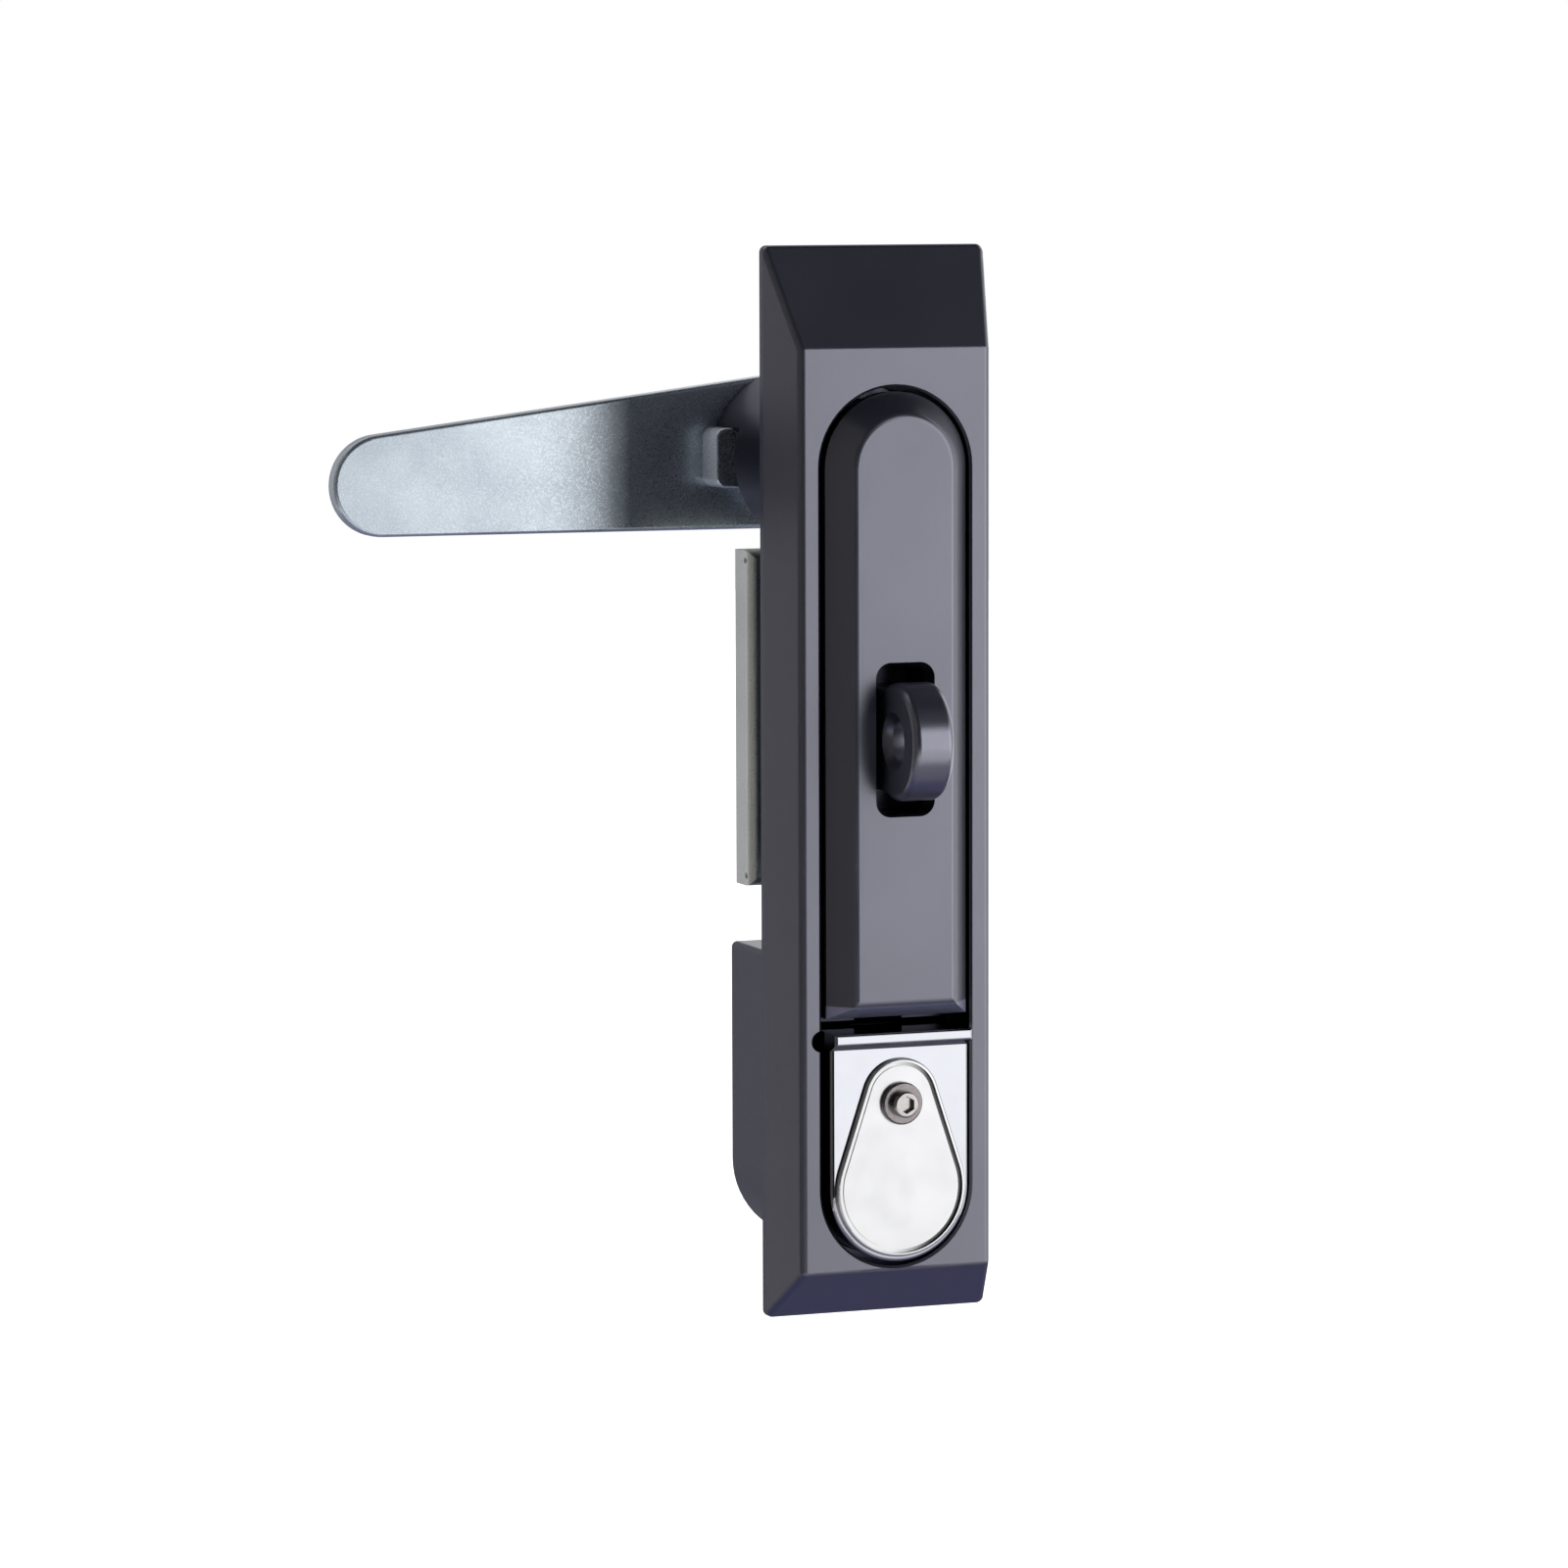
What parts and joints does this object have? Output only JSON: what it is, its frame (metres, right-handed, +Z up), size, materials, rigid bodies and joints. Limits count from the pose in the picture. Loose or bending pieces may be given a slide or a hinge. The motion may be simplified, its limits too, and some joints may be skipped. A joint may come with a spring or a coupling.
{
  "type": "flush cabinet lock with cam and padlock eye",
  "caption": "Flush panel lock: a long bevelled black case with a swing-up handle, a padlock eye, a chrome push button with a dust cover, and a flat steel cam behind.",
  "frame": {"origin": "on the spindle axis, in the plane of the door's outer face that the housing's back lies on", "axes": "+X to the right seen from the front, +Y into the cabinet, +Z up along the handle"},
  "size_m": [0.085, 0.0646, 0.1495],
  "materials": {
    "black_cast": "satin black powder coat on zinc die casting",
    "zinc_steel": "bright zinc-plated steel",
    "chrome_plate": "bright chrome on zinc die casting",
    "cover_steel": "satin stainless steel",
    "screw_steel": "bright stainless steel",
    "spring_steel": "drawn spring wire",
    "lock_brass": "turned brass",
    "seal_rubber": "black nitrile rubber"
  },
  "bodies": {
    "root": {"housing": "black_cast", "spindle_head": "zinc_steel", "handle_pin": "zinc_steel", "lift_spring": "spring_steel", "padlock_eye": "black_cast", "eye_screws": "zinc_steel", "clamp_bracket": "zinc_steel", "bracket_screws": "zinc_steel"},
    "handle": {"handle": "black_cast", "handle_strike": "zinc_steel", "strike_screw": "zinc_steel"},
    "spindle": {"spindle_shaft": "zinc_steel", "spindle_o_ring": "seal_rubber", "stop_washers": "zinc_steel", "cam": "zinc_steel", "cam_flat_washer": "zinc_steel", "cam_lock_washer": "spring_steel", "cam_screw": "zinc_steel"},
    "button": {"button": "chrome_plate", "button_guide_screws": "zinc_steel", "button_springs": "spring_steel", "cylinder_body": "lock_brass", "cylinder_nut": "lock_brass", "cover_washer": "screw_steel", "cover_screw": "screw_steel"},
    "plug": {"key_plug": "lock_brass", "plug_tail": "zinc_steel", "tail_screw": "zinc_steel"},
    "cover": {"dust_cover": "cover_steel"},
    "bolt": {"catch_bolt": "zinc_steel"}
  },
  "joints": [
    {"name": "handle_lift", "type": "hinge", "parent": "root", "child": "handle", "pos_m": [0, -0.008, 0.0025], "axis": [-1, 0, 0], "range_deg": [0, 40], "deforming": ["lift_spring"]},
    {"name": "cam_turn", "type": "hinge", "parent": "root", "child": "spindle", "pos_m": [0, 0, 0], "axis": [0, -1, 0], "range_deg": [0, 90]},
    {"name": "button_press", "type": "slide", "parent": "root", "child": "button", "axis": [0, 1, 0], "range_m": [0, 0.0012], "stiffness_N_per_m": 600, "deforming": ["button_springs"]},
    {"name": "key_turn", "type": "hinge", "parent": "button", "child": "plug", "pos_m": [0, 0, -0.1003], "axis": [0, -1, 0], "range_deg": [0, 90]},
    {"name": "cover_swing", "type": "hinge", "parent": "button", "child": "cover", "pos_m": [0, 0, -0.0882], "axis": [0, -1, 0], "range_deg": [0, 80]},
    {"name": "catch_slide", "type": "slide", "parent": "root", "child": "bolt", "axis": [0, 0, 1], "range_m": [0, 0.0039]}
  ],
  "couplings": [
    {"joint": "catch_slide", "follows": "key_turn", "m_per_rad": 0.00248}
  ]
}
